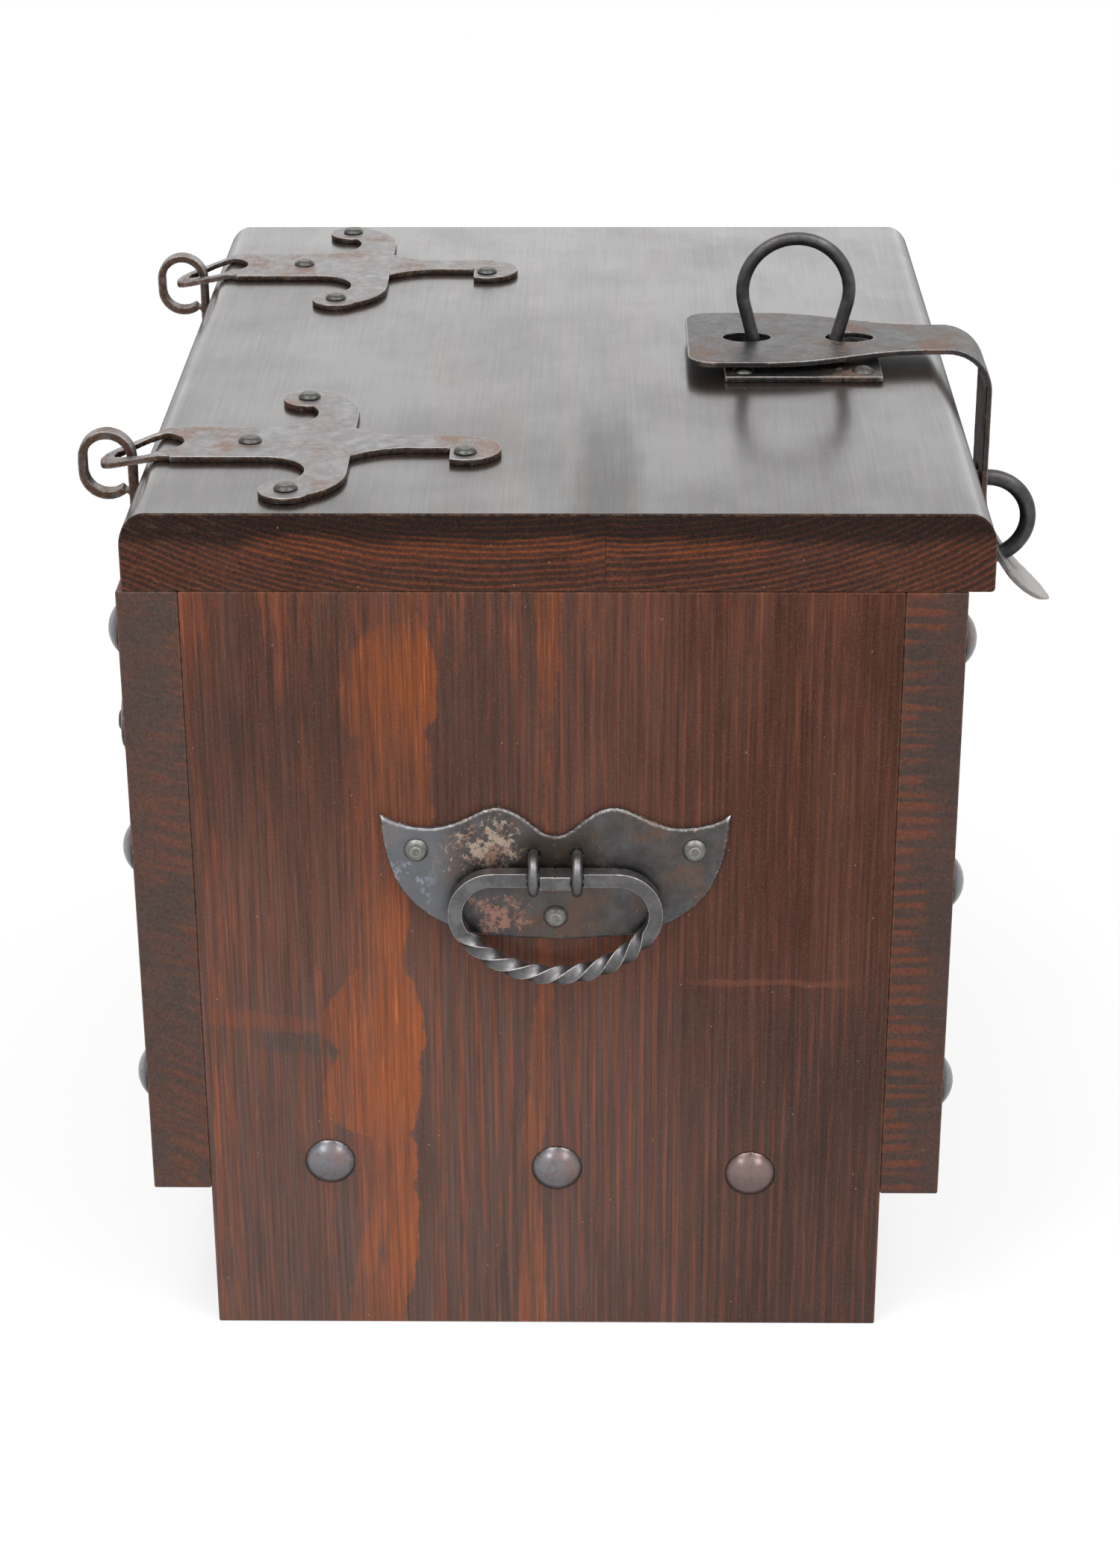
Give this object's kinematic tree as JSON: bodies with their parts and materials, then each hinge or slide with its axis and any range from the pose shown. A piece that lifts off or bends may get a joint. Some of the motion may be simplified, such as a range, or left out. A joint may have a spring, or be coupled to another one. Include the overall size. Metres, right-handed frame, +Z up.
{
  "type": "wooden chest",
  "caption": "Small boarded wooden chest on plank feet, with domed nails, ring and strap hinges, hasp and staple lock, and twisted iron drop handles.",
  "frame": {"origin": "on the floor, in the middle of the space that the whole chest takes up, with its handles, hinge rings and hasp", "axes": "+X along the length to the right end, -Y out of the front with the hasp, +Z up"},
  "size_m": [0.4058, 0.377, 0.3851],
  "materials": {
    "stained_pine": "dark brown stain with a satin varnish",
    "forged_iron": "dark forged iron, a little worn and rusty at the edges",
    "domed_nail_steel": "dark blued steel"
  },
  "bodies": {
    "carcass": {"left_end_board": "stained_pine", "right_end_board": "stained_pine", "front_board": "stained_pine", "back_board": "stained_pine", "bottom_board": "stained_pine", "left_end_nails": "domed_nail_steel", "right_end_nails": "domed_nail_steel", "front_nails": "domed_nail_steel", "back_nails": "domed_nail_steel", "left_hinge_back_strap": "forged_iron", "right_hinge_back_strap": "forged_iron", "left_hinge_back_nails": "forged_iron", "right_hinge_back_nails": "forged_iron", "front_staple_plate": "forged_iron", "front_staple": "forged_iron", "front_staple_rivets": "forged_iron", "left_handle_plate": "forged_iron", "right_handle_plate": "forged_iron", "left_handle_nails": "forged_iron", "right_handle_nails": "forged_iron", "left_handle_eyes": "forged_iron", "right_handle_eyes": "forged_iron"},
    "lid": {"lid_front_board": "stained_pine", "lid_back_board": "stained_pine", "left_hinge_lid_strap": "forged_iron", "right_hinge_lid_strap": "forged_iron", "left_hinge_lid_nails": "forged_iron", "right_hinge_lid_nails": "forged_iron", "lid_staple_plate": "forged_iron", "lid_staple": "forged_iron", "lid_staple_rivets": "forged_iron"},
    "hasp": {"hasp": "forged_iron"},
    "left_bail": {"left_handle_bail": "forged_iron"},
    "right_bail": {"right_handle_bail": "forged_iron"}
  },
  "joints": [
    {"name": "lid_hinge", "type": "hinge", "parent": "carcass", "child": "lid", "pos_m": [0, 0.17772, 0.33056], "axis": [-1, 0, 0], "range_deg": [0, 105]},
    {"name": "hasp_hinge", "type": "hinge", "parent": "lid", "child": "hasp", "pos_m": [-0.003, -0.03753, 0.3402], "axis": [-1, 0, 0], "range_deg": [0, 35]},
    {"name": "left_handle_hinge", "type": "hinge", "parent": "carcass", "child": "left_bail", "pos_m": [-0.1947, 0.01247, 0.198], "axis": [0, 1, 0], "range_deg": [0, 105]},
    {"name": "right_handle_hinge", "type": "hinge", "parent": "carcass", "child": "right_bail", "pos_m": [0.1947, 0.02147, 0.198], "axis": [0, -1, 0], "range_deg": [0, 105]}
  ]
}
